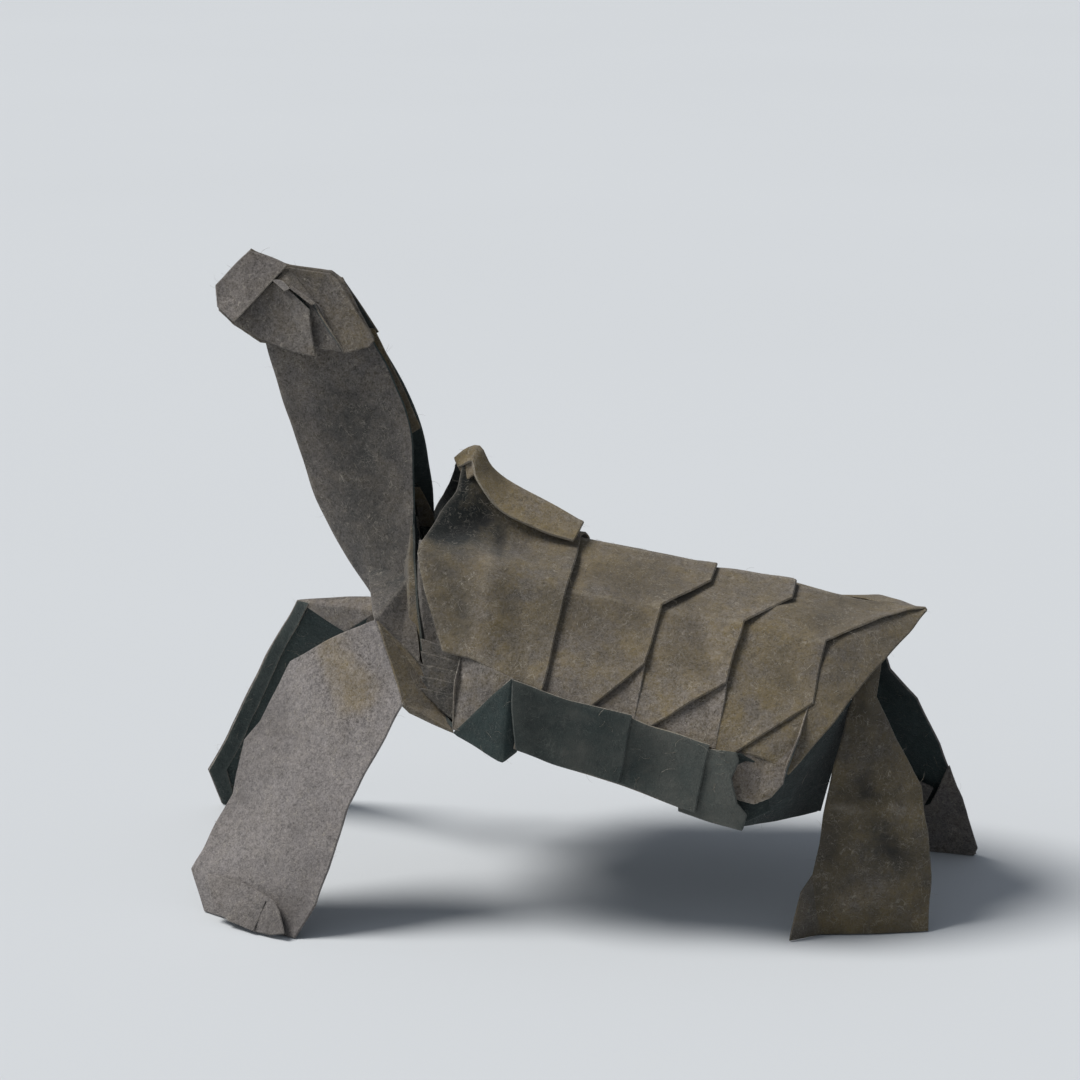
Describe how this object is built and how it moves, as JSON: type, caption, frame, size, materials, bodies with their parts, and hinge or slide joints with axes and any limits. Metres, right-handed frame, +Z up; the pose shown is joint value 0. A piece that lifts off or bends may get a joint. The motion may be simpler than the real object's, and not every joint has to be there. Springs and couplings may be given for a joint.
{
  "type": "origami tortoise",
  "caption": "Folded paper tortoise with a raised neck and a pleated saddle-backed shell with a turned-up rim, standing on splayed legs",
  "frame": {"origin": "on the ground under the middle of the figure's length and width", "axes": "+X from the head to the tail, +Y across the body to the far side of the picture, +Z up from the ground"},
  "size_m": [0.1337, 0.0681, 0.1037],
  "materials": {
    "brown_paper": "matte fibrous unryu-type paper, dark green on the reverse"
  },
  "bodies": {
    "root": {"folded_tortoise": "brown_paper"}
  },
  "joints": []
}
